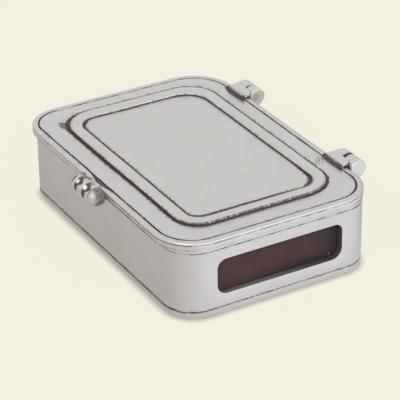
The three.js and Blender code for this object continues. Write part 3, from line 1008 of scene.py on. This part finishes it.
def make_camera():
    back = Vector((math.sin(AZIMUTH) * math.cos(ELEVATION),
                   -math.cos(AZIMUTH) * math.cos(ELEVATION), math.sin(ELEVATION)))
    level = Vector((math.cos(AZIMUTH), math.sin(AZIMUTH), 0.0))
    rise = back.cross(level)
    right = level * math.cos(ROLL) + rise * math.sin(ROLL)
    up = rise * math.cos(ROLL) - level * math.sin(ROLL)
    data = bpy.data.cameras.new("camera")
    data.sensor_width = SENSOR
    data.lens = FOCAL / PIXELS * SENSOR
    data.clip_start = 0.05
    data.clip_end = 20.0
    camera = bpy.data.objects.new("camera", data)
    bpy.context.scene.collection.objects.link(camera)
    place = (right * REACH[0] + up * REACH[1] + back * REACH[2] + Vector((0, 0, FOOT_TOP))) * MM
    turn = Matrix((right, up, back)).transposed().to_4x4()
    camera.matrix_world = Matrix.Translation(place) @ turn
    bpy.context.scene.camera = camera


WHITE = (1.0, 1.0, 1.0, 1.0)
CREAM = (0.887, 0.871, 0.753, 1.0)
CREAM_GRAIN = (0.883, 0.867, 0.750, 1.0)
CONTACT_SHADE = (0.45, 0.43, 0.36, 1.0)
CONTACT_REACH = 2.2 * MM
FLOOR_REACH = 3.0
FLOOR_LEVEL = -0.02 * MM
FLOOR_GLOW = 1.04
SHADOW_SHARE = 0.12
# Floor colours for mirrored rays: painted shade ahead of and close to the box, and a painted pool
# of light to its right
REFLECTED_SHADE_AHEAD = (0.80, 0.785, 0.74, 1.0)
REFLECTED_SHADE_CLOSE = (0.68, 0.665, 0.61, 1.0)
REFLECTED_LIGHT_POOL_RIGHT = (1.20, 1.19, 1.24, 1.0)


def make_floor():
    made = bmesh.new()
    corners = ((-1, -1), (1, -1), (1, 1), (-1, 1))
    made.faces.new([made.verts.new((x * FLOOR_REACH, y * FLOOR_REACH, FLOOR_LEVEL))
                    for x, y in corners])
    floor = to_object("floor", made)
    floor.data.materials.append(floor_paper())


def floor_paper():
    """Cream paper that glows in its own colour, with a painted contact shadow close to the box and
    the lamps' shadow in its small lit share.

    Mirrored rays see painted shade on the paper in front of the box, and a painted pool of light to
    its right.
    """
    nodes = Nodes("floor_paper")
    grain = nodes.noise(0.4, 2.0)
    colour = nodes.mix(nodes.ramp(grain, 0.3, 0.7), CREAM_GRAIN, CREAM)
    # Painted contact shadow from ambient occlusion, mixed into the floor's glow
    close = nodes.add("ShaderNodeAmbientOcclusion", samples=12)
    close.inputs["Distance"].default_value = CONTACT_REACH
    open_share = nodes.ramp(close.outputs["AO"], 0.35, 1.0, kind="LINEAR")
    shade = nodes.mix(open_share, CONTACT_SHADE, colour)
    across, along, _ = nodes.axes()
    # Painted shade in front of the box and a painted pool of light to its right, seen by mirrored
    # rays only
    ahead = nodes.ramp(along, -60.0, -36.0, kind="LINEAR")
    reflected_front_shade = nodes.mix(ahead, REFLECTED_SHADE_AHEAD, REFLECTED_SHADE_CLOSE)
    turned = nodes.ramp(along, -60.0, -12.0, 0.32, 1.0, "LINEAR")
    light_pool_share = nodes.math("MULTIPLY", nodes.ramp(across, 36.0, 64.0, kind="LINEAR"), turned)
    mirrored = nodes.mix(light_pool_share, reflected_front_shade, REFLECTED_LIGHT_POOL_RIGHT)
    rays = nodes.add("ShaderNodeLightPath")
    glow = nodes.add("ShaderNodeEmission")
    nodes.feed(glow.inputs["Color"], nodes.mix(rays.outputs["Is Glossy Ray"], shade, mirrored))
    nodes.feed(glow.inputs["Strength"], FLOOR_GLOW)
    lit = nodes.add("ShaderNodeBsdfDiffuse")
    nodes.feed(lit.inputs["Color"], colour)
    part = nodes.add("ShaderNodeMixShader")
    part.inputs["Fac"].default_value = SHADOW_SHARE
    nodes.tree.links.new(glow.outputs[0], part.inputs[1])
    nodes.tree.links.new(lit.outputs[0], part.inputs[2])
    whole = nodes.add("ShaderNodeMixShader")
    nodes.feed(whole.inputs["Fac"], seen_directly(nodes.tree))
    nodes.tree.links.new(lit.outputs[0], whole.inputs[1])
    nodes.tree.links.new(part.outputs[0], whole.inputs[2])
    output = nodes.add("ShaderNodeOutputMaterial")
    nodes.tree.links.new(whole.outputs[0], output.inputs["Surface"])
    return nodes.material


def seen_directly(tree):
    """1 for rays from the camera and for mirrored or transmitted ones."""
    rays = tree.nodes.new("ShaderNodeLightPath")
    total = rays.outputs["Is Camera Ray"]
    for name in ("Is Glossy Ray", "Is Transmission Ray"):
        either = tree.nodes.new("ShaderNodeMath")
        either.operation = "MAXIMUM"
        tree.links.new(total, either.inputs[0])
        tree.links.new(rays.outputs[name], either.inputs[1])
        total = either.outputs[0]
    return total


WORLD_LIGHT = 0.55
HORIZON = (0.02, 0.35)


def make_world():
    """Cream at the horizon and white above; dimmer as a light than as a background."""
    world = bpy.data.worlds.new("studio")
    bpy.context.scene.world = world
    world.use_nodes = True
    tree = world.node_tree
    tree.nodes.clear()
    place = tree.nodes.new("ShaderNodeTexCoord")
    split = tree.nodes.new("ShaderNodeSeparateXYZ")
    tree.links.new(place.outputs["Generated"], split.inputs[0])
    rise = tree.nodes.new("ShaderNodeMapRange")
    rise.inputs["From Min"].default_value = HORIZON[0]
    rise.inputs["From Max"].default_value = HORIZON[1]
    tree.links.new(split.outputs["Z"], rise.inputs["Value"])
    sky = tree.nodes.new("ShaderNodeMix")
    sky.data_type = "RGBA"
    tree.links.new(rise.outputs["Result"], sky.inputs["Factor"])
    sky.inputs[6].default_value = CREAM
    sky.inputs[7].default_value = WHITE
    shown = tree.nodes.new("ShaderNodeBackground")
    shown.name = "shown"
    tree.links.new(sky.outputs[2], shown.inputs["Color"])
    shown.inputs["Strength"].default_value = 1.0
    lit = tree.nodes.new("ShaderNodeBackground")
    lit.name = "lit"
    lit.inputs["Color"].default_value = WHITE
    lit.inputs["Strength"].default_value = WORLD_LIGHT
    mixed = tree.nodes.new("ShaderNodeMixShader")
    tree.links.new(seen_directly(tree), mixed.inputs["Fac"])
    tree.links.new(lit.outputs[0], mixed.inputs[1])
    tree.links.new(shown.outputs[0], mixed.inputs[2])
    output = tree.nodes.new("ShaderNodeOutputWorld")
    tree.links.new(mixed.outputs[0], output.inputs["Surface"])


def make_lamp(name, place, size, power, colour):
    """An area lamp that looks at the box from a place in metres."""
    data = bpy.data.lights.new(name, "AREA")
    data.shape = "RECTANGLE"
    data.size = size[0]
    data.size_y = size[1]
    data.energy = power
    data.color = colour
    lamp = bpy.data.objects.new(name, data)
    bpy.context.scene.collection.objects.link(lamp)
    lamp.location = place
    lamp.rotation_mode = "QUATERNION"
    lamp.rotation_quaternion = (-Vector(place)).to_track_quat("-Z", "Y")


make_camera()
make_floor()
make_world()
make_lamp("soft_right", (0.78, 0.12, 0.35), size=(1.20, 0.80), power=2.5, colour=(0.92, 0.93, 1.0))
make_lamp("soft_front", (0.45, -0.75, 0.75), size=(0.60, 0.60), power=2.9, colour=(0.90, 0.90, 1.0))
bpy.context.scene.view_settings.view_transform = "Standard"
